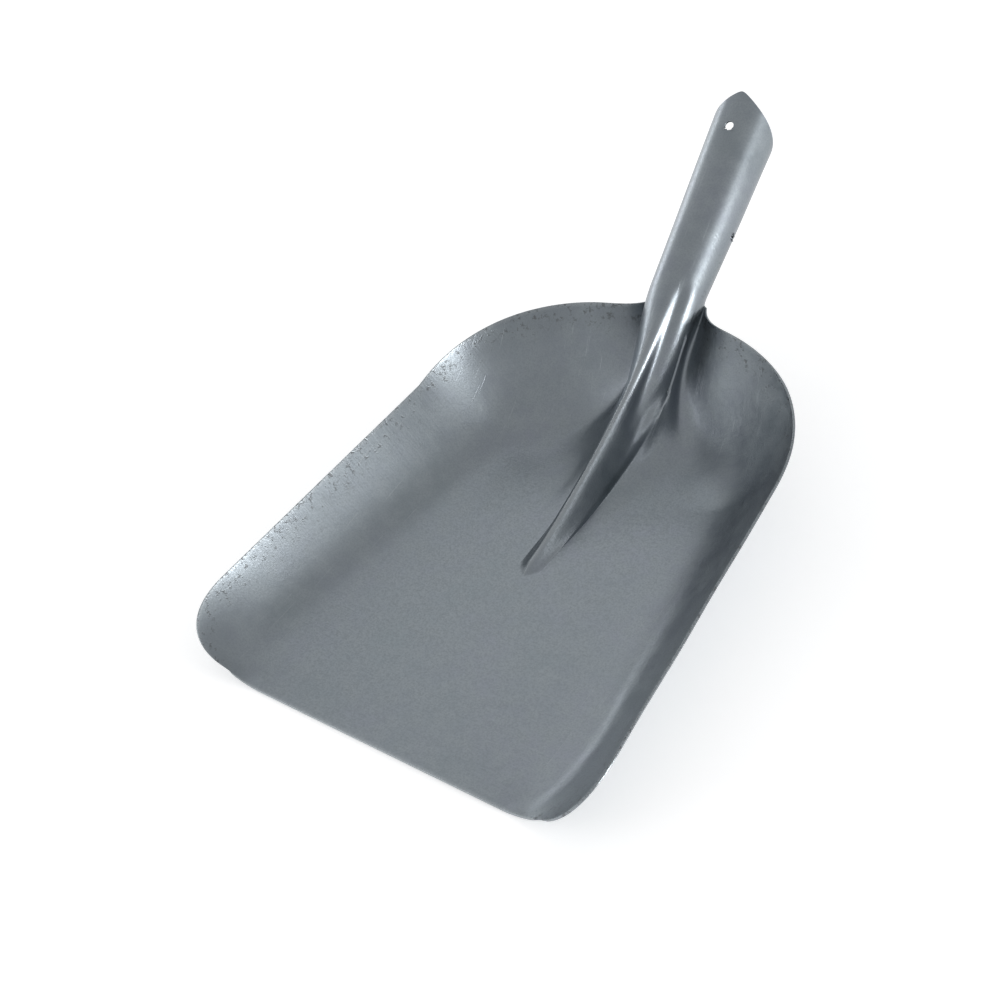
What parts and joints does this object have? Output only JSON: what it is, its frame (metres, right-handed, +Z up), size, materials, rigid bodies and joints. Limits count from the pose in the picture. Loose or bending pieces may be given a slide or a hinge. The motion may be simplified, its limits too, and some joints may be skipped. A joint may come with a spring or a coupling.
{
  "type": "scoop shovel head",
  "caption": "Pressed steel scoop shovel head: flat pan with flared walls, hollow centre rib, and a tapered open-backed socket for a wooden shaft.",
  "frame": {"origin": "on the surface the floor rests on, under the middle of the head's length and width", "axes": "+X across the pan to its right side, +Y from the mouth to the socket, +Z up out of the pan"},
  "size_m": [0.2786, 0.4417, 0.1695],
  "materials": {
    "steel": "bare rolled sheet, satin, polished along the rib and socket"
  },
  "bodies": {
    "root": {"pan": "steel", "rib": "steel", "neck": "steel", "socket": "steel"}
  },
  "joints": []
}
